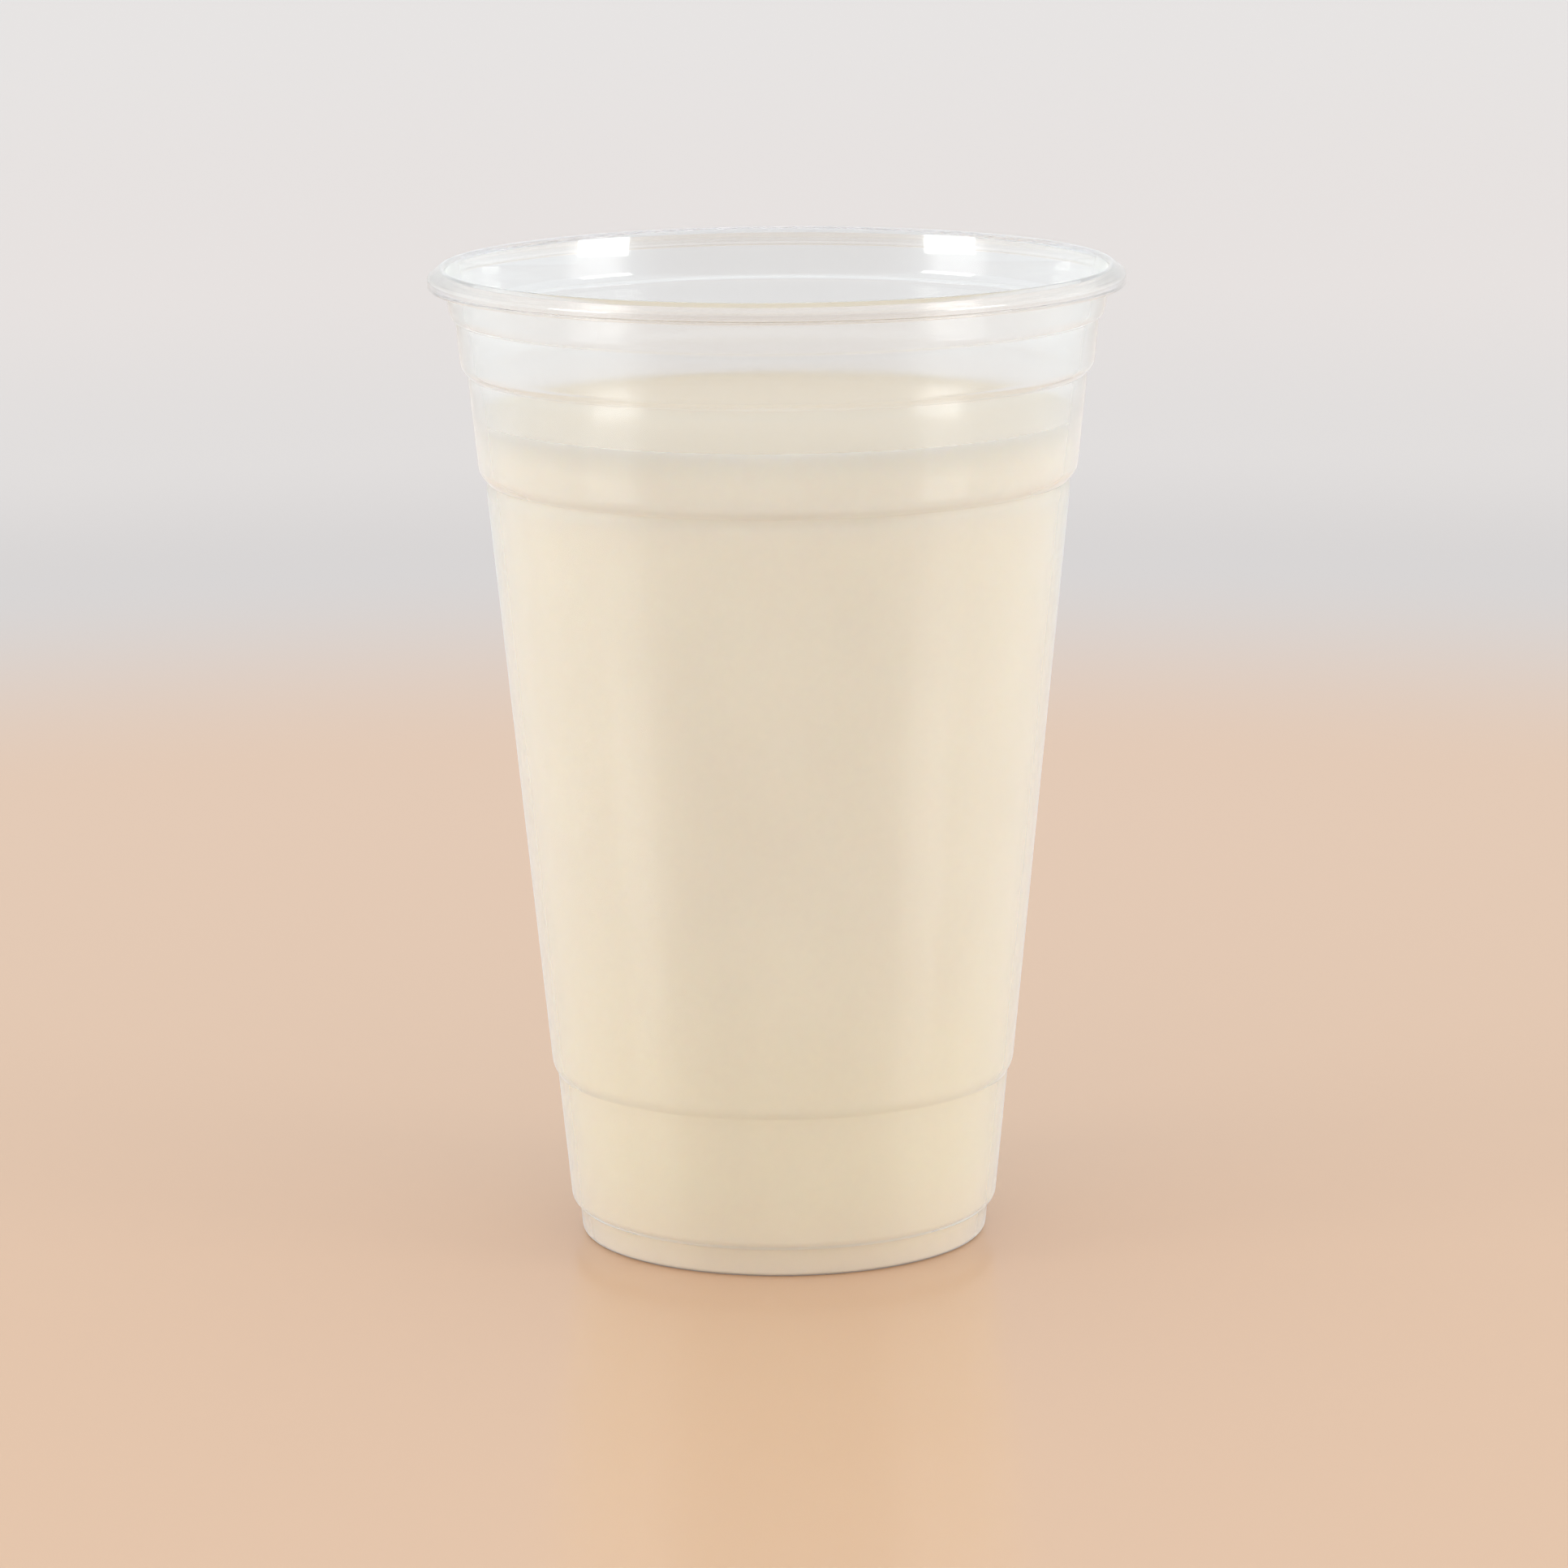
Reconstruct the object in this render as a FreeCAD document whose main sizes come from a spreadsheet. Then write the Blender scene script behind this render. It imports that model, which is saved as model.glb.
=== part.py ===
import FreeCAD, Part
import os
import Sketcher

# A clear plastic cup of lemonade, in millimetres. The cup is one thin wall turned about +Z, and the
# lemonade is one solid that fills it face to face up to its level. The origin is the middle of the
# foot, on the surface that the cup stands on.

# Driving dimensions. A height is measured up from the foot and a drop is measured down from the rim.
DIMENSIONS = {
    # the whole cup
    "cup_height": 139.2,
    "rim_radius": 49.0,
    "foot_radius": 29.0,
    "wall": 0.4,
    # foot: a narrow ring that carries the cup round a raised floor
    "ring_width": 2.6,
    "recess_height": 4.0,
    "recess_draft": 0.7,
    "floor": 0.5,
    "foot_corner": 0.8,
    "recess_corner": 0.4,
    # shoulders, where the wall steps out: the two low ones only round in to the band below
    "heel_height": 4.0,
    "heel_step": 1.0,
    "heel_rise": 3.1,
    "waist_height": 23.5,
    "waist_step": 0.6,
    "waist_rise": 4.0,
    # the three upper shoulders also tuck in behind the band below, as a shallow groove
    "grip_drop": 30.2,
    "grip_step": 0.75,
    "grip_rise": 4.2,
    "grip_tuck": 0.55,
    "grip_neck": 1.5,
    "stack_drop": 15.7,
    "stack_step": 0.85,
    "stack_rise": 3.5,
    "stack_tuck": 0.3,
    "stack_neck": 1.0,
    "collar_drop": 7.4,
    "collar_step": 0.74,
    "collar_rise": 1.7,
    "collar_tuck": 0.2,
    "collar_neck": 0.7,
    # lip: a bead outside the rim with a slanted underside, a short upright edge and a round crown
    "lip_reach": 2.4,
    "lip_drop": 4.8,
    "lip_edge_low": 2.9,
    "lip_edge_high": 2.2,
    "lip_crown": 2.1,
    "lip_edge_round": 0.5,
    "rim_round": 0.25,
    # lemonade
    "fill_drop": 21.5,
}

LOW_SHOULDERS = ("heel", "waist")
TUCKED_SHOULDERS = ("grip", "stack", "collar")


class Length:
    """A length of the sheet, or one worked out from such lengths: its value and its expression."""

    def __init__(self, value, expression):
        self.value = value
        self.expression = expression

    def __add__(self, other):
        return Length(self.value + other.value, f"({self.expression} + {other.expression})")

    def __sub__(self, other):
        return Length(self.value - other.value, f"({self.expression} - {other.expression})")

    def __mul__(self, other):
        return Length(self.value * other.value, f"({self.expression} * {other.expression})")

    def __truediv__(self, other):
        return Length(self.value / other.value, f"({self.expression} / {other.expression})")


NOTHING = Length(0.0, "0")


def make_sheet(doc):
    """The spreadsheet that drives the model: one row for each dimension, name beside number."""
    sheet = doc.addObject("Spreadsheet::Sheet", "Sizes")
    for row, (name, number) in enumerate(DIMENSIONS.items(), start=1):
        sheet.set(f"A{row}", name)
        sheet.set(f"B{row}", str(number))
        sheet.setAlias(f"B{row}", name)
    return sheet


def size(name):
    """One driving dimension, as a length."""
    return Length(DIMENSIONS[name], f"Sizes.{name}")


def total_step():
    """How far all the shoulders together carry the wall outwards."""
    total = NOTHING
    for shoulder in LOW_SHOULDERS + TUCKED_SHOULDERS:
        total = total + size(f"{shoulder}_step")
    return total


def taper():
    """How far the wall leans out for each millimetre of height, the same in every band."""
    spread = size("rim_radius") - size("lip_reach") - size("foot_radius") - total_step()
    return spread / size("cup_height")


class Outline:
    """A closed outline in a body's XZ sketch, drawn vertex by vertex and bound to the sheet.

    A vertex has a name, a radius from the axis, a height, and whether the stretch that leaves it is
    an arc. An arc runs anticlockwise and ends tangent to the straight stretch after it.
    """

    def __init__(self):
        self.vertices = []

    def add(self, name, radius, height, arc=False):
        self.vertices.append((name, radius, height, arc))

    def point(self, index):
        radius, height = self.vertices[index % len(self.vertices)][1:3]
        return FreeCAD.Vector(radius.value, height.value, 0)

    def stretch(self, index):
        """The line or arc that leaves one vertex for the next."""
        start, end = self.point(index), self.point(index + 1)
        if not self.vertices[index][3]:
            return Part.LineSegment(start, end)
        along = (self.point(index + 2) - end).normalize()
        inward = FreeCAD.Vector(-along.y, along.x, 0)
        chord = start - end
        centre = end + inward * (chord.Length ** 2 / (2 * chord.dot(inward)))
        to_middle = ((start + end) / 2 - centre).normalize()
        return Part.Arc(start, centre + to_middle * (start - centre).Length, end)

    def draw(self, sketch):
        count = len(self.vertices)
        for index in range(count):
            sketch.addGeometry(self.stretch(index), False)
        for index in range(count):
            arc = self.vertices[index][3]
            joint = "Tangent" if arc else "Coincident"
            sketch.addConstraint(Sketcher.Constraint(joint, index, 2, (index + 1) % count, 1))
        for index, (name, radius, height, _) in enumerate(self.vertices):
            self.place(sketch, index, "DistanceX", f"{name}_radius", radius, -2)
            self.place(sketch, index, "DistanceY", f"{name}_height", height, -1)

    def place(self, sketch, index, direction, name, length, axis):
        """Hold a vertex on an axis of the sketch, or at its distance along one direction."""
        if length is NOTHING:
            sketch.addConstraint(Sketcher.Constraint("PointOnObject", index, 1, axis))
            return
        constraint = sketch.addConstraint(
            Sketcher.Constraint(direction, -1, 1, index, 1, length.value))
        sketch.renameConstraint(constraint, name)
        sketch.setExpression(f"Constraints.{name}", length.expression)


def add_wall(outline, inset, start_height):
    """Add the wall's vertices from the foot to the last shoulder, moved in by the inset."""
    base = size("foot_radius") - inset

    def on_band(height):
        return base + taper() * height

    outline.add("foot", on_band(start_height), start_height)
    for shoulder in LOW_SHOULDERS:
        low = size(f"{shoulder}_height")
        high = low + size(f"{shoulder}_rise")
        outline.add(f"{shoulder}_low", on_band(low), low, arc=True)
        base = base + size(f"{shoulder}_step")
        outline.add(f"{shoulder}_high", on_band(high), high)
    for shoulder in TUCKED_SHOULDERS:
        low = size("cup_height") - size(f"{shoulder}_drop")
        neck = low - size(f"{shoulder}_neck")
        high = low + size(f"{shoulder}_rise")
        outline.add(f"{shoulder}_neck", on_band(neck), neck)
        outline.add(f"{shoulder}_low", on_band(low) - size(f"{shoulder}_tuck"), low, arc=True)
        base = base + size(f"{shoulder}_step")
        outline.add(f"{shoulder}_high", on_band(high), high)
    return on_band


def outside_outline():
    """The cup's outer shape, as if it were full: foot, banded wall and lip."""
    outline = Outline()
    outline.add("axis_low", NOTHING, NOTHING)
    on_band = add_wall(outline, NOTHING, NOTHING)
    top = size("cup_height")
    under_lip = top - size("lip_drop")
    outline.add("under_lip", on_band(under_lip), under_lip)
    outline.add("lip_low", size("rim_radius"), top - size("lip_edge_low"))
    outline.add("lip_high", size("rim_radius"), top - size("lip_edge_high"), arc=True)
    outline.add("crown", size("rim_radius") - size("lip_crown"), top)
    outline.add("axis_high", NOTHING, top)
    return outline


def recess_radius():
    """Radius of the raised floor's recess where it opens at the foot."""
    return size("foot_radius") - size("ring_width")


def recess_outline():
    """The hollow under the raised floor."""
    outline = Outline()
    outline.add("axis_low", NOTHING, NOTHING)
    outline.add("mouth", recess_radius(), NOTHING)
    outline.add("ceiling", recess_radius() - size("recess_draft"), size("recess_height"))
    outline.add("axis_high", NOTHING, size("recess_height"))
    return outline


def inside_outline():
    """The space inside the wall, with a trench in the foot ring round the raised floor."""
    outline = Outline()
    floor_top = size("recess_height") + size("floor")
    outline.add("axis_low", NOTHING, floor_top)
    outline.add("floor_edge", recess_radius() - size("recess_draft") + size("wall"), floor_top)
    outline.add("trench", recess_radius() + size("wall"), size("floor"))
    on_band = add_wall(outline, size("wall"), size("floor"))
    outline.add("rim", on_band(size("cup_height")), size("cup_height"))
    outline.add("axis_high", NOTHING, size("cup_height"))
    return outline


def above_level_outline():
    """The part of the inside that is left empty above the lemonade."""
    outline = Outline()
    level = size("cup_height") - size("fill_drop")
    outline.add("axis_low", NOTHING, level)
    outline.add("wall_low", size("rim_radius"), level)
    outline.add("wall_high", size("rim_radius"), size("cup_height"))
    outline.add("axis_high", NOTHING, size("cup_height"))
    return outline


def turn(body, kind, name, outline):
    """Turn an outline about Z into a solid of revolution, or into a groove in the one so far."""
    sketch = body.newObject("Sketcher::SketchObject", f"{name}_outline")
    plane = next(item for item in body.Origin.OriginFeatures if item.Role == "XZ_Plane")
    sketch.AttachmentSupport = [(plane, "")]
    sketch.MapMode = "FlatFace"
    outline.draw(sketch)
    feature = body.newObject(f"PartDesign::{kind}", name)
    feature.Profile = sketch
    feature.ReferenceAxis = (sketch, ["V_Axis"])
    feature.Angle = 360.0
    sketch.Visibility = False
    return feature


def round_edge(body, name, radius_name, circle_radius, circle_height):
    """Fillet the circular edge that has this radius and height."""
    body.Document.recompute()
    base = body.Tip
    edges = []
    for number, edge in enumerate(base.Shape.Edges, start=1):
        circle = edge.Curve
        if not isinstance(circle, Part.Circle):
            continue
        miss = abs(circle.Radius - circle_radius.value) + abs(circle.Center.z - circle_height.value)
        if miss < 1e-4:
            edges.append(f"Edge{number}")
    if not edges:
        raise RuntimeError(f"{name}: no edge to round")
    fillet = body.newObject("PartDesign::Fillet", name)
    fillet.Base = (base, edges)
    fillet.Radius = DIMENSIONS[radius_name]
    fillet.setExpression("Radius", f"Sizes.{radius_name}")
    return fillet


def make_cup(doc):
    """The clear cup: a full outer shape, hollowed under its floor and inside, with rounded edges."""
    body = doc.addObject("PartDesign::Body", "cup")
    body.Label = "cup"
    turn(body, "Revolution", "cup_outside", outside_outline())
    turn(body, "Groove", "foot_recess", recess_outline())
    turn(body, "Groove", "cup_inside", inside_outline())
    top = size("cup_height")
    round_edge(body, "foot_round", "foot_corner", size("foot_radius"), NOTHING)
    round_edge(body, "recess_round", "recess_corner", recess_radius(), NOTHING)
    round_edge(body, "lip_round", "lip_edge_round", size("rim_radius"), top - size("lip_edge_low"))
    rim_inside = size("rim_radius") - size("lip_reach") - size("wall")
    round_edge(body, "rim_inner_round", "rim_round", rim_inside, top)
    return body


def make_lemonade(doc):
    """The lemonade: all the space inside the wall, less what is empty above its level."""
    body = doc.addObject("PartDesign::Body", "lemonade")
    body.Label = "lemonade"
    turn(body, "Revolution", "lemonade_full", inside_outline())
    turn(body, "Groove", "lemonade_level", above_level_outline())
    return body


def check(doc, bodies):
    """Stop if anything in the document failed or a body isn't one sound solid."""
    for item in doc.Objects:
        if "Invalid" in item.State or "Error" in item.State:
            raise RuntimeError(f"{item.Name} failed: {item.State}")
    for body in bodies:
        shape = body.Shape
        if shape.isNull() or not shape.isValid() or len(shape.Solids) != 1:
            raise RuntimeError(f"{body.Label} is not one sound solid")


def main():
    doc = FreeCAD.newDocument("cup_of_lemonade")
    make_sheet(doc)
    doc.recompute()
    bodies = [make_cup(doc), make_lemonade(doc)]
    doc.recompute()
    check(doc, bodies)
    os.makedirs("parts", exist_ok=True)
    for body in bodies:
        body.Shape.exportStep(f"parts/{body.Label}.step")
        print(f"{body.Label}: {body.Shape.Volume / 1000:.2f} ml, {body.Shape.BoundBox}")


main()
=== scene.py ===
import math

import bpy
import numpy as np
from mathutils import Matrix, Vector


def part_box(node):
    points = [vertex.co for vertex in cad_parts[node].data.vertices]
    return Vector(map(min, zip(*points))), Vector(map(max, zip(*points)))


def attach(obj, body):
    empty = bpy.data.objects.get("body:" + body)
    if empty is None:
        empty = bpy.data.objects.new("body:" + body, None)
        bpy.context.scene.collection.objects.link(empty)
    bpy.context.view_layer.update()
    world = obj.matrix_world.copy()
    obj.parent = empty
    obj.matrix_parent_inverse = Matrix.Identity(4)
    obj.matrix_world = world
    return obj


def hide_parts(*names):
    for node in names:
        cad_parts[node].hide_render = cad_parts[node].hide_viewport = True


# A clear moulded cup of cloudy lemonade, in metres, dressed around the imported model
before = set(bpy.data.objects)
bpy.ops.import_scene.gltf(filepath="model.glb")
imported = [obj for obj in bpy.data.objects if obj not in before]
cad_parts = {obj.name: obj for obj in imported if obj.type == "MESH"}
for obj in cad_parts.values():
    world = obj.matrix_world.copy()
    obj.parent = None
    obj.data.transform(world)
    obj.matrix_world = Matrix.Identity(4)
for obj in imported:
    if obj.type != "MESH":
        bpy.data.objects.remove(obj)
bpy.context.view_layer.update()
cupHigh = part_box("cup")[1]
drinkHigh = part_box("lemonade")[1]
print("frame loaded")

millimetre = 0.001

# The cup, in millimetres but for the two sizes that the frame gives. Each band of the wall leans out
# alike, and each shoulder steps out from the band below.
cup = {
    "height": cupHigh.z / millimetre,
    "rimRadius": cupHigh.x / millimetre,
    "footRadius": 29.0,
    "wall": 0.4,
    "lipReach": 2.4,
    "ringWidth": 2.6,
    "recessHeight": 4.0,
    "recessDraft": 0.7,
    "floor": 0.5,
    "floorBend": 0.8,
    "footBend": 0.8,
    "ringBend": 0.4,
    "insideBend": 0.5,
    "segments": 288,
    "bendSteps": 6,
    # the height of each shoulder's lower edge, its step out, its rise, how far the edge tucks in, and how
    # far below it the neck starts
    "shoulders": {
        "heel": (4.0, 1.0, 3.1, 0.0, 0.0),
        "waist": (23.5, 0.6, 4.0, 0.0, 0.0),
        "grip": (109.0, 0.75, 4.2, 0.3, 1.5),
        "stack": (124.0, 0.85, 3.5, 0.15, 1.0),
        "collar": (131.8, 0.74, 1.7, 0.1, 0.7),
    },
}

# How a shoulder bends. The edge under it is in millimetres, the neck's reach is a share of the neck, and
# the rest are shares of the shoulder's rise. The collar rounds out in two bends, and the first of them
# makes most of its step.
bends = {
    "edge": 0.12,
    "neck": 0.45,
    "low": 0.2,
    "high": 0.3,
    "reach": 0.2,
    "insideSoftness": 0.2,
    "collarShare": 0.72,
    "collarLowReach": 0.15,
    "collarHigh": 0.65,
    "collarHighReach": 0.27,
}

# The turned-down lip, in millimetres: a flange slopes out from its crown to a short upright skirt, with
# a bead along the skirt's lower edge. The hollow's two drops are in walls.
lip = {
    "crownReach": 0.8,
    "crownOver": 0.12,
    "shoulderDrop": 1.4,
    "skirtDrop": 2.9,
    "bead": 0.9,
    "beadRise": 0.3,
    "beadTop": 0.5,
    "hollowDrop": 0.9,
    "hollowShoulder": 0.6,
    "edgeDrop": 0.45,
    "flareDrop": 2.4,
    "flareReach": 1.7,
    "flare": 0.25,
    "rimBend": 0.45,
    "crownBend": 0.5,
    "hollowBend": 0.25,
    "flangeBend": 0.3,
    "innerSkirtBend": 0.15,
    "beadBend": 0.2,
    "skirtBend": 0.25,
    "edgeBend": 0.2,
    "zoneDrop": 0.1,
    "zoneWidth": 2.6,
}

# The lemonade, in millimetres, up to its level, with a low meniscus where it meets the wall
drink = {
    "level": drinkHigh.z / millimetre,
    "intoWall": 0.2,
    "meniscusRise": 0.5,
    "meniscusWidth": 1.3,
    "surfaceRings": 40,
    "crowding": 2.2,
    "footBend": 0.5,
    "footZone": 4.6,
}


def bentPath(corners, steps):
    # Corners are rows of radius, height and reach. At each one the path leaves its corner by the reach on
    # both sides and bends along (1-t)^2 A + 2t(1-t) B + t^2 C, where B is the corner, A and C the two ends.
    corners = np.array(corners, dtype=float)
    spots, reaches = corners[:, :2], corners[:, 2]
    before, after = np.roll(spots, 1, axis=0), np.roll(spots, -1, axis=0)
    towardBefore = (before - spots) / np.maximum(np.linalg.norm(before - spots, axis=1), 1e-9)[:, None]
    towardAfter = (after - spots) / np.maximum(np.linalg.norm(after - spots, axis=1), 1e-9)[:, None]
    t = np.linspace(0.0, 1.0, steps)[None, :, None]
    start = (spots + towardBefore * reaches[:, None])[:, None, :]
    end = (spots + towardAfter * reaches[:, None])[:, None, :]
    curves = (1 - t) ** 2 * start + 2 * t * (1 - t) * spots[:, None, :] + t ** 2 * end
    rows = [curves[i] if reaches[i] > 0 else spots[i:i + 1] for i in range(len(spots))]
    return np.concatenate(rows)


def turned(name, path, zones, materials):
    # Surface of revolution: x = r cos(a), y = r sin(a), z = height, for each path point r, height and
    # each angle a. The path starts and ends on the axis, where a single point closes the surface. A zone
    # gives the material of the strip that starts at its path point.
    segments = cup["segments"]
    angles = np.linspace(0.0, 2 * math.pi, segments, endpoint=False)
    body = path[1:-1] * millimetre
    rings = np.stack([
        body[:, None, 0] * np.cos(angles)[None, :],
        body[:, None, 0] * np.sin(angles)[None, :],
        np.repeat(body[:, 1:2], segments, axis=1),
    ], axis=2).reshape(-1, 3)
    poles = np.array([[0, 0, path[0, 1]], [0, 0, path[-1, 1]]]) * millimetre
    points = np.concatenate([rings, poles])
    count = len(body)
    ring, seg = np.meshgrid(np.arange(count - 1), np.arange(segments), indexing="ij")
    nextSeg = (seg + 1) % segments
    low, high = ring * segments, (ring + 1) * segments
    quads = np.stack([low + seg, low + nextSeg, high + nextSeg, high + seg], axis=2).reshape(-1, 4)
    first, last = count * segments, count * segments + 1
    one = np.arange(segments)
    two = (one + 1) % segments
    topRow = (count - 1) * segments
    startFan = np.stack([two, one, np.full(segments, first)], axis=1)
    endFan = np.stack([one + topRow, two + topRow, np.full(segments, last)], axis=1)
    mesh = bpy.data.meshes.new(name)
    mesh.from_pydata(points.tolist(), [], quads.tolist() + startFan.tolist() + endFan.tolist())
    for material in materials:
        mesh.materials.append(material)
    strips = np.concatenate([zones[1:-2], zones[:1], zones[-2:-1]])
    mesh.polygons.foreach_set("material_index", np.repeat(strips, segments).astype(np.int32))
    mesh.polygons.foreach_set("use_smooth", np.ones(len(mesh.polygons), dtype=bool))
    mesh.update()
    piece = bpy.data.objects.new(name, mesh)
    bpy.context.scene.collection.objects.link(piece)
    return piece


def wallTaper():
    # Each band leans out by the radius gained from foot to rim, less the steps, over the height
    steps = sum(row[1] for row in cup["shoulders"].values())
    return (cup["rimRadius"] - cup["lipReach"] - cup["footRadius"] - steps) / cup["height"]


def wallCorners(inset, top, softness=1.0):
    # Corners of the wall from the foot up to the shoulders below the top, moved in towards the axis by
    # the inset. A band's radius is its radius at the foot plus the taper times the height. The softness
    # scales the bends above the shoulders, but for the collar, which rounds out in two bends.
    base, taper = cup["footRadius"] - inset, wallTaper()
    corners = []
    for name, (height, step, rise, tuck, neck) in cup["shoulders"].items():
        if height > top:
            continue
        if neck:
            corners.append((base + taper * (height - neck), height - neck, neck * bends["neck"]))
        corners.append((base + taper * height - tuck, height, bends["edge"]))
        high, reach = height + rise * bends["high"], rise * bends["reach"] * softness
        if name == "collar":
            low = height + rise * bends["low"]
            first = base + step * bends["collarShare"] + taper * low
            corners.append((first, low, rise * bends["collarLowReach"]))
            high, reach = height + rise * bends["collarHigh"], rise * bends["collarHighReach"]
        base = base + step
        corners.append((base + taper * high, high, reach))
    return corners, base


def cupPath():
    # The whole section of the cup, from the axis under the floor, out round the foot, up the outside,
    # round the turned-down lip, down the inside and back to the axis on top of the floor
    top, rim, wall, taper = cup["height"], cup["rimRadius"], cup["wall"], wallTaper()
    outer, outerBase = wallCorners(0.0, top)
    inner, innerBase = wallCorners(wall, top, bends["insideSoftness"])
    ringIn = cup["footRadius"] - cup["ringWidth"]
    ceiling = ringIn - cup["recessDraft"]
    edge, flareStart = top - lip["edgeDrop"], top - lip["flareDrop"]
    shoulder, skirt = top - lip["shoulderDrop"], top - lip["skirtDrop"]
    hollow, flange = edge - wall * lip["hollowDrop"], shoulder - wall * lip["hollowShoulder"]
    beadIn, beadRise, beadTop = rim - lip["bead"], skirt + lip["beadRise"], skirt + lip["beadTop"]
    corners = [(0.0, cup["recessHeight"], 0.0), (ceiling, cup["recessHeight"], cup["floorBend"])]
    corners += [(ringIn, 0.0, cup["ringBend"]), (cup["footRadius"], 0.0, cup["footBend"])]
    corners += outer
    corners += [(outerBase + taper * hollow + lip["flare"], hollow, lip["hollowBend"])]
    corners += [(rim - wall, flange, lip["flangeBend"]), (rim - wall, beadTop, lip["innerSkirtBend"])]
    corners += [(beadIn, beadRise, lip["innerSkirtBend"]), (beadIn, skirt, lip["beadBend"])]
    corners += [(rim, skirt, lip["skirtBend"]), (rim, shoulder, lip["rimBend"])]
    crown = innerBase + taper * top + lip["crownReach"]
    corners += [(crown, top + lip["crownOver"], lip["crownBend"])]
    corners += [(innerBase + taper * edge + lip["flare"], edge, lip["edgeBend"])]
    corners += [(innerBase + taper * flareStart, flareStart, lip["flareReach"])]
    corners += inner[::-1]
    corners += [(cup["footRadius"] - wall, cup["floor"], cup["insideBend"])]
    corners += [(ringIn + wall, cup["floor"], cup["insideBend"])]
    floorTop = cup["recessHeight"] + cup["floor"]
    corners += [(ceiling + wall, floorTop, cup["floorBend"]), (0.0, floorTop, 0.0)]
    return bentPath(corners, cup["bendSteps"])


def drinkPath():
    # The lemonade's section: over the raised floor, down into the foot ring, up inside the wall and in
    # along the surface. The surface rises to the wall as level + rise * exp(-distance / width). Its rings
    # crowd there: each lies in from the wall by the edge's radius times (step / steps) ^ crowding.
    inset, taper = cup["wall"] - drink["intoWall"], wallTaper()
    side, base = wallCorners(inset, drink["level"])
    ringIn = cup["footRadius"] - cup["ringWidth"] + inset
    floorTop = cup["recessHeight"] + inset
    edgeHeight = drink["level"] + drink["meniscusRise"]
    edge = base + taper * edgeHeight
    corners = [(0.0, floorTop, 0.0), (ringIn - cup["recessDraft"], floorTop, cup["floorBend"])]
    corners += [(ringIn, inset, drink["footBend"])]
    corners += [(cup["footRadius"] - inset, inset, drink["footBend"])]
    corners += side + [(edge, edgeHeight, 0.0)]
    wet = bentPath(corners, cup["bendSteps"])
    distance = edge * np.linspace(0.0, 1.0, drink["surfaceRings"])[1:] ** drink["crowding"]
    surface = drink["level"] + drink["meniscusRise"] * np.exp(-distance / drink["meniscusWidth"])
    path = np.concatenate([wet, np.stack([edge - distance, surface], axis=1)])
    zones = np.where(path[:, 1] < drink["footZone"], 1, 0)
    zones[len(wet) - 1:] = 2
    return path, zones


def newMaterial(name):
    material = bpy.data.materials.new(name)
    material.use_nodes = True
    material.node_tree.nodes.clear()
    return material, material.node_tree.nodes, material.node_tree.links


def mottleGroup():
    # Soft cloudy patches: a mask from 0 to 1, noise at a size in metres, stretched upwards by a factor
    group = bpy.data.node_groups.new("softMottle", "ShaderNodeTree")
    face = group.interface
    for label, value in (("Size", 0.012), ("Stretch", 1.0), ("Sharpness", 0.5)):
        socket = face.new_socket(name=label, in_out="INPUT", socket_type="NodeSocketFloat")
        socket.default_value = value
    face.new_socket(name="Mask", in_out="OUTPUT", socket_type="NodeSocketFloat")
    nodes, links = group.nodes, group.links
    entry, leave = nodes.new("NodeGroupInput"), nodes.new("NodeGroupOutput")
    place = nodes.new("ShaderNodeTexCoord")
    squash = nodes.new("ShaderNodeVectorMath")
    squash.operation = "DIVIDE"
    scale = nodes.new("ShaderNodeCombineXYZ")
    scale.inputs["X"].default_value = 1.0
    scale.inputs["Y"].default_value = 1.0
    noise = nodes.new("ShaderNodeTexNoise")
    noise.inputs["Detail"].default_value = 2.0
    perMetre = nodes.new("ShaderNodeMath")
    perMetre.operation = "DIVIDE"
    perMetre.inputs[0].default_value = 1.0
    links.new(place.outputs["Object"], squash.inputs[0])
    links.new(entry.outputs["Stretch"], scale.inputs["Z"])
    links.new(scale.outputs["Vector"], squash.inputs[1])
    links.new(squash.outputs["Vector"], noise.inputs["Vector"])
    links.new(entry.outputs["Size"], perMetre.inputs[1])
    links.new(perMetre.outputs["Value"], noise.inputs["Scale"])
    links.new(entry.outputs["Sharpness"], noise.inputs["Roughness"])
    links.new(noise.outputs["Fac"], leave.inputs["Mask"])
    return group


mottle = mottleGroup()

# Each mottle's size in metres, upward stretch and sharpness
mottles = {
    "haze": (0.02, 3.0, 0.5),
    "wave": (0.009, 4.0, 0.4),
    "cloud": (0.018, 1.5, 0.5),
    "pulp": (0.0012, 1.0, 0.6),
}


def addMottle(nodes, name):
    size, stretch, sharpness = mottles[name]
    node = nodes.new("ShaderNodeGroup")
    node.node_tree = mottle
    node.inputs["Size"].default_value = size
    node.inputs["Stretch"].default_value = stretch
    node.inputs["Sharpness"].default_value = sharpness
    return node.outputs["Mask"]


def spread(nodes, links, mask, low, high):
    # Low plus the mask's way from 0.3 to 0.7 times the difference of high and low
    node = nodes.new("ShaderNodeMapRange")
    node.inputs["From Min"].default_value = 0.3
    node.inputs["From Max"].default_value = 0.7
    node.inputs["To Min"].default_value = low
    node.inputs["To Max"].default_value = high
    links.new(mask, node.inputs["Value"])
    return node.outputs["Result"]


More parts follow.
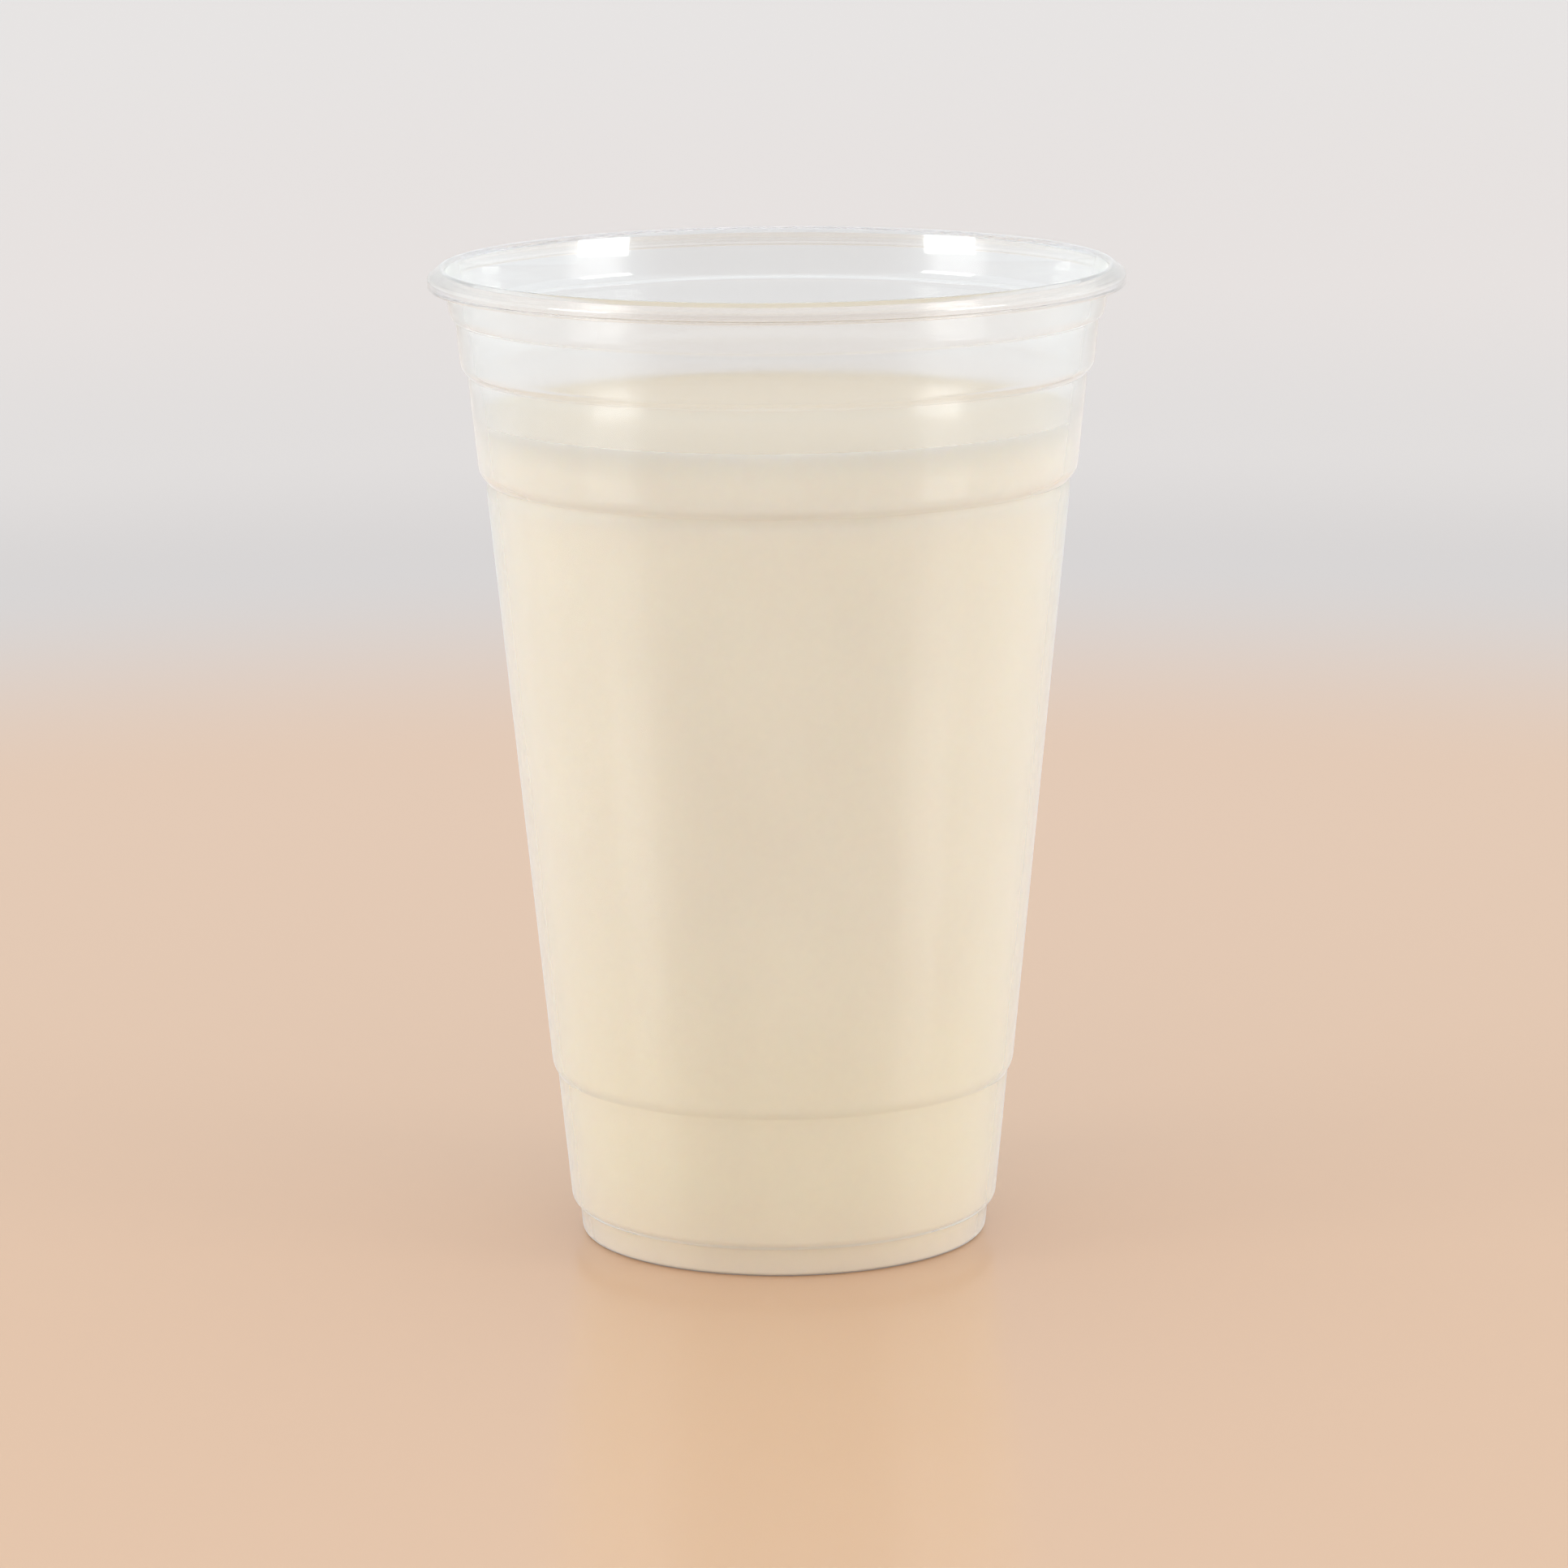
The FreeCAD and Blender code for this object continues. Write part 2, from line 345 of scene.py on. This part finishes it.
# The plastic's finishes: colour, sheen, the sheen's tint and the coat's roughness. The lip's colour is
# painted darker and warmer than the wall's, as painted shade for the dark gap under the flange seen through
# it. They are numbered from 0 for the zones: the wall above the drink, the lip, and the body below the
# grip.
plasticFinishesAndPaintedShade = {
    "clearPlastic": ((0.955, 0.94, 0.915), 1.0, (0.95, 0.98, 0.96), 0.075),
    "lipPlasticPaintedShade": ((0.93, 0.90, 0.87), 0.3, (0.95, 0.98, 0.96), 0.06),
    "bodyPlastic": ((0.955, 0.935, 0.91), 0.9, (0.86, 0.96, 1.0), 0.2),
}


def clearPlastic(name, colour, sheen, sheenTint, coatRoughness):
    # Thin clear plastic: sheen makes it milky where it is seen edge on, the coat carries its highlights
    material, nodes, links = newMaterial(name)
    shader = nodes.new("ShaderNodeBsdfPrincipled")
    # For the lip this colour holds painted shade
    shader.inputs["Base Color"].default_value = (*colour, 1)
    shader.inputs["IOR"].default_value = 1.1
    shader.inputs["Transmission Weight"].default_value = 0.97
    shader.inputs["Sheen Weight"].default_value = sheen
    shader.inputs["Sheen Roughness"].default_value = 0.4
    shader.inputs["Sheen Tint"].default_value = (*sheenTint, 1)
    shader.inputs["Coat Weight"].default_value = 1.0
    shader.inputs["Coat Roughness"].default_value = coatRoughness
    shader.inputs["Coat IOR"].default_value = 1.58
    haze = addMottle(nodes, "haze")
    links.new(spread(nodes, links, haze, 0.17, 0.24), shader.inputs["Roughness"])
    wave = addMottle(nodes, "wave")
    bump = nodes.new("ShaderNodeBump")
    bump.inputs["Strength"].default_value = 0.12
    bump.inputs["Distance"].default_value = 0.00008
    links.new(wave, bump.inputs["Height"])
    links.new(bump.outputs["Normal"], shader.inputs["Normal"])
    clear = nodes.new("ShaderNodeBsdfTransparent")
    clear.inputs["Color"].default_value = (0.98, 0.98, 0.975, 1)
    path = nodes.new("ShaderNodeLightPath")
    mix = nodes.new("ShaderNodeMixShader")
    out = nodes.new("ShaderNodeOutputMaterial")
    links.new(path.outputs["Is Shadow Ray"], mix.inputs["Fac"])
    links.new(shader.outputs["BSDF"], mix.inputs[1])
    links.new(clear.outputs["BSDF"], mix.inputs[2])
    links.new(mix.outputs["Shader"], out.inputs["Surface"])
    return material


# The lemonade's colours up the cup: height in millimetres, then red, green and blue. The cream is the
# drink's own colour, with painted light in it: the stops up to 14 mm are brighter in red and less blue,
# painted light against the shade near the floor, and towards the top the tone turns paler, painted light
# where light comes in through the surface.
lemonadeTonesWithPaintedLight = (
    (0.0, (0.98, 0.81, 0.63)),
    (5.0, (0.99, 0.825, 0.62)),
    (14.0, (0.985, 0.845, 0.63)),
    (60.0, (0.965, 0.845, 0.67)),
    (103.0, (0.96, 0.855, 0.69)),
    (112.0, (0.91, 0.835, 0.705)),
    (118.0, (0.935, 0.87, 0.765)),
)


def setStops(ramp, tones):
    # Each tone is a place and a colour; places are divided by the last one
    ramp.interpolation = "EASE"
    while len(ramp.elements) < len(tones):
        ramp.elements.new(0.5)
    for stop, (place, colour) in zip(ramp.elements, tones):
        stop.position = place / tones[-1][0]
        stop.color = (*colour, 1)


def toneWithPaintedLightGroup():
    # Cloudy lemonade: the colour for the height, which holds painted light near the floor and the top, a
    # little lighter or darker in soft patches, with fine paler flecks of pulp
    group = bpy.data.node_groups.new("lemonadeToneWithPaintedLight", "ShaderNodeTree")
    group.interface.new_socket(name="Color", in_out="OUTPUT", socket_type="NodeSocketColor")
    nodes, links = group.nodes, group.links
    leave = nodes.new("NodeGroupOutput")
    place = nodes.new("ShaderNodeTexCoord")
    parts = nodes.new("ShaderNodeSeparateXYZ")
    links.new(place.outputs["Object"], parts.inputs["Vector"])
    rise = nodes.new("ShaderNodeMapRange")
    rise.inputs["From Max"].default_value = lemonadeTonesWithPaintedLight[-1][0] * millimetre
    links.new(parts.outputs["Z"], rise.inputs["Value"])
    ramp = nodes.new("ShaderNodeValToRGB")
    setStops(ramp.color_ramp, lemonadeTonesWithPaintedLight)
    links.new(rise.outputs["Result"], ramp.inputs["Fac"])
    cloud = spread(nodes, links, addMottle(nodes, "cloud"), 0.985, 1.015)
    pulp = spread(nodes, links, addMottle(nodes, "pulp"), 0.99, 1.01)
    both = nodes.new("ShaderNodeMath")
    both.operation = "MULTIPLY"
    links.new(cloud, both.inputs[0])
    links.new(pulp, both.inputs[1])
    tint = nodes.new("ShaderNodeVectorMath")
    tint.operation = "SCALE"
    links.new(ramp.outputs["Color"], tint.inputs[0])
    links.new(both.outputs["Value"], tint.inputs["Scale"])
    links.new(tint.outputs["Vector"], leave.inputs["Color"])
    return group


lemonadeToneWithPaintedLight = toneWithPaintedLightGroup()


# The lemonade's finishes: shade, specular level, roughness and depth. Shade multiplies the tone's red,
# green and blue; it is painted shade, which paints the surface darker than the side to offset the light
# falling on it from above. Depth is how far red light wanders in the drink, in metres. They are numbered
# from 0 for the zones: the side, the foot and the surface.
lemonadeFinishesAndPaintedShade = {
    "cloudyLemonade": ((1.0, 1.0, 1.0), 0.1, 0.3, 0.009),
    "footLemonade": ((1.0, 1.0, 1.0), 0.1, 0.3, 0.002),
    "lemonadeSurface": ((0.59, 0.54, 0.43), 0.4, 0.1, 0.009),
}


def lemonadeMaterial(name, paintedShade, specular, roughness, depth):
    material, nodes, links = newMaterial(name)
    shader = nodes.new("ShaderNodeBsdfPrincipled")
    shader.inputs["Roughness"].default_value = roughness
    shader.inputs["IOR"].default_value = 1.34
    shader.inputs["Specular IOR Level"].default_value = specular
    shader.inputs["Subsurface Weight"].default_value = 0.25
    shader.inputs["Subsurface Radius"].default_value = (1.0, 0.75, 0.5)
    shader.inputs["Subsurface Scale"].default_value = depth
    tone = nodes.new("ShaderNodeGroup")
    tone.node_tree = lemonadeToneWithPaintedLight
    # The tone times the shade, which is painted shade on the surface
    withPaintedShade = nodes.new("ShaderNodeVectorMath")
    withPaintedShade.operation = "MULTIPLY"
    withPaintedShade.inputs[1].default_value = paintedShade
    links.new(tone.outputs["Color"], withPaintedShade.inputs[0])
    links.new(withPaintedShade.outputs["Vector"], shader.inputs["Base Color"])
    out = nodes.new("ShaderNodeOutputMaterial")
    links.new(shader.outputs["BSDF"], out.inputs["Surface"])
    return material


section = cupPath()
inLip = section[:, 1] > cup["height"] - lip["skirtDrop"] - lip["zoneDrop"]
inLip &= section[:, 0] > cup["rimRadius"] - lip["zoneWidth"]
inBody = section[:, 1] < cup["shoulders"]["grip"][0]
cupZones = np.where(inBody, 2, np.where(inLip, 1, 0))
cupMaterials = [clearPlastic(name, *finish) for name, finish in plasticFinishesAndPaintedShade.items()]
cupPiece = turned("cupShell", section, cupZones, cupMaterials)
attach(cupPiece, "root")
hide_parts("cup")
drinkMaterials = [lemonadeMaterial(name, *finish) for name, finish in lemonadeFinishesAndPaintedShade.items()]
drinkPiece = turned("lemonadeFill", *drinkPath(), drinkMaterials)
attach(drinkPiece, "root")
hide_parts("lemonade")
print("cup and lemonade made")

# The studio: a pale floor, a pale surround and a soft lamp on each side.
# Angles are in degrees, azimuths from the camera's side, and the rest in metres.
studio = {
    "floorSize": 8.0,
    # distance from the cup, then the floor's red, green and blue
    "floorTones": (
        (0.35, (0.57, 0.355, 0.21)),
        (0.6, (0.48, 0.43, 0.39)),
        (0.8, (0.56, 0.50, 0.45)),
        (1.2, (0.62, 0.535, 0.475)),
        (2.4, (0.625, 0.56, 0.505)),
    ),
    "floorThrough": (0.60, 0.58, 0.56),
    # the surround turns to its front between two depths, and to its sides between two widths
    "frontEdges": (-0.35, -0.85),
    "besideEdges": (0.4, 0.9),
    "seenAround": (0.80, 0.785, 0.77),
    "seenBeside": (1.05, 1.14, 1.2),
    "seenInFront": (0.22, 0.17, 0.13),
    "lightAround": (1.2, 1.3, 1.42),
    "lightBeside": (1.2, 1.5, 1.95),
    "lightInFront": (1.6, 1.36, 1.17),
    "lampAzimuth": 67.0,
    "lampDistance": 1.05,
    "lampSize": (0.40, 0.20),
    "lampCentre": 0.355,
    "lampRadiance": 9.6,
}


def paleFloor():
    half = studio["floorSize"] / 2
    mesh = bpy.data.meshes.new("floor")
    corners = [(-half, -half, 0), (half, -half, 0), (half, half, 0), (-half, half, 0)]
    mesh.from_pydata(corners, [], [(0, 1, 2, 3)])
    material, nodes, links = newMaterial("paleFloor")
    shader = nodes.new("ShaderNodeBsdfPrincipled")
    shader.inputs["Roughness"].default_value = 0.18
    shader.inputs["IOR"].default_value = 1.45
    place = nodes.new("ShaderNodeTexCoord")
    away = nodes.new("ShaderNodeVectorMath")
    away.operation = "LENGTH"
    fade = nodes.new("ShaderNodeMapRange")
    fade.inputs["From Max"].default_value = studio["floorTones"][-1][0]
    blend = nodes.new("ShaderNodeValToRGB")
    setStops(blend.color_ramp, studio["floorTones"])
    path = nodes.new("ShaderNodeLightPath")
    shown = nodes.new("ShaderNodeMix")
    shown.data_type = "RGBA"
    shown.inputs["B"].default_value = (*studio["floorThrough"], 1)
    out = nodes.new("ShaderNodeOutputMaterial")
    links.new(place.outputs["Object"], away.inputs[0])
    links.new(away.outputs["Value"], fade.inputs["Value"])
    links.new(fade.outputs["Result"], blend.inputs["Fac"])
    links.new(blend.outputs["Color"], shown.inputs["A"])
    links.new(path.outputs["Is Transmission Ray"], shown.inputs["Factor"])
    links.new(shown.outputs["Result"], shader.inputs["Base Color"])
    links.new(shader.outputs["BSDF"], out.inputs["Surface"])
    mesh.materials.append(material)
    floor = bpy.data.objects.new("floor", mesh)
    bpy.context.scene.collection.objects.link(floor)


def softLamp(name, azimuth, distance, centre, size, radiance):
    # An upright panel at the azimuth from the camera's side, facing the cup. Its power is
    # radiance * pi * area.
    data = bpy.data.lights.new(name, "AREA")
    data.shape = "RECTANGLE"
    data.size, data.size_y = size
    data.energy = radiance * math.pi * size[0] * size[1]
    lamp = bpy.data.objects.new(name, data)
    a = math.radians(azimuth)
    lamp.location = (distance * math.sin(a), -distance * math.cos(a), centre)
    facing = Vector((0, 0, centre)) - lamp.location
    lamp.rotation_euler = facing.to_track_quat("-Z", "Y").to_euler()
    lamp.visible_camera = False
    lamp.visible_transmission = False
    bpy.context.scene.collection.objects.link(lamp)


def paleWorld():
    world = bpy.data.worlds.new("surround")
    bpy.context.scene.world = world
    world.use_nodes = True
    nodes, links = world.node_tree.nodes, world.node_tree.links
    place = nodes.new("ShaderNodeTexCoord")
    parts = nodes.new("ShaderNodeSeparateXYZ")
    front = nodes.new("ShaderNodeMapRange")
    front.interpolation_type = "SMOOTHSTEP"
    front.inputs["From Min"].default_value = studio["frontEdges"][0]
    front.inputs["From Max"].default_value = studio["frontEdges"][1]
    beside = nodes.new("ShaderNodeMapRange")
    beside.interpolation_type = "SMOOTHSTEP"
    beside.inputs["From Min"].default_value = studio["besideEdges"][0]
    beside.inputs["From Max"].default_value = studio["besideEdges"][1]
    sideways = nodes.new("ShaderNodeMath")
    sideways.operation = "ABSOLUTE"
    links.new(place.outputs["Generated"], parts.inputs["Vector"])
    links.new(parts.outputs["Y"], front.inputs["Value"])
    links.new(parts.outputs["X"], sideways.inputs[0])
    links.new(sideways.outputs["Value"], beside.inputs["Value"])
    path = nodes.new("ShaderNodeLightPath")
    seen = nodes.new("ShaderNodeMath")
    seen.operation = "MAXIMUM"
    links.new(path.outputs["Is Camera Ray"], seen.inputs[0])
    links.new(path.outputs["Is Glossy Ray"], seen.inputs[1])
    shownRay = nodes.new("ShaderNodeMath")
    shownRay.operation = "MAXIMUM"
    links.new(seen.outputs["Value"], shownRay.inputs[0])
    links.new(path.outputs["Is Transmission Ray"], shownRay.inputs[1])
    blends = []
    for kind in ("light", "seen"):
        sides = nodes.new("ShaderNodeMix")
        sides.data_type = "RGBA"
        sides.inputs["A"].default_value = (*studio[kind + "Around"], 1)
        sides.inputs["B"].default_value = (*studio[kind + "Beside"], 1)
        links.new(beside.outputs["Result"], sides.inputs["Factor"])
        blend = nodes.new("ShaderNodeMix")
        blend.data_type = "RGBA"
        blend.inputs["B"].default_value = (*studio[kind + "InFront"], 1)
        links.new(sides.outputs["Result"], blend.inputs["A"])
        links.new(front.outputs["Result"], blend.inputs["Factor"])
        blends.append(blend)
    either = nodes.new("ShaderNodeMix")
    either.data_type = "RGBA"
    links.new(shownRay.outputs["Value"], either.inputs["Factor"])
    links.new(blends[0].outputs["Result"], either.inputs["A"])
    links.new(blends[1].outputs["Result"], either.inputs["B"])
    links.new(either.outputs["Result"], nodes["Background"].inputs["Color"])


# The camera stands in front and looks down a little. The lens is in millimetres, the place in metres, and
# the angles are in degrees.
view = {
    "sensor": 36.0,
    "lens": 143.57,
    "farthest": 50.0,
    "place": (0.0, -0.8741, 0.2384),
    "pan": -0.03,
    "down": 11.244,
    "roll": -0.45,
}


def addCamera():
    data = bpy.data.cameras.new("camera")
    data.sensor_width = view["sensor"]
    data.lens = view["lens"]
    data.clip_end = view["farthest"]
    camera = bpy.data.objects.new("camera", data)
    camera.matrix_world = (
        Matrix.Translation(view["place"])
        @ Matrix.Rotation(math.radians(view["pan"]), 4, "Z")
        @ Matrix.Rotation(math.radians(90 - view["down"]), 4, "X")
        @ Matrix.Rotation(math.radians(view["roll"]), 4, "Z"))
    bpy.context.scene.collection.objects.link(camera)
    bpy.context.scene.camera = camera


paleFloor()
for side in (-1, 1):
    softLamp(f"lamp{side}", side * studio["lampAzimuth"], studio["lampDistance"], studio["lampCentre"],
             studio["lampSize"], studio["lampRadiance"])
paleWorld()
addCamera()
bpy.context.scene.view_settings.view_transform = "Standard"
print("studio made")
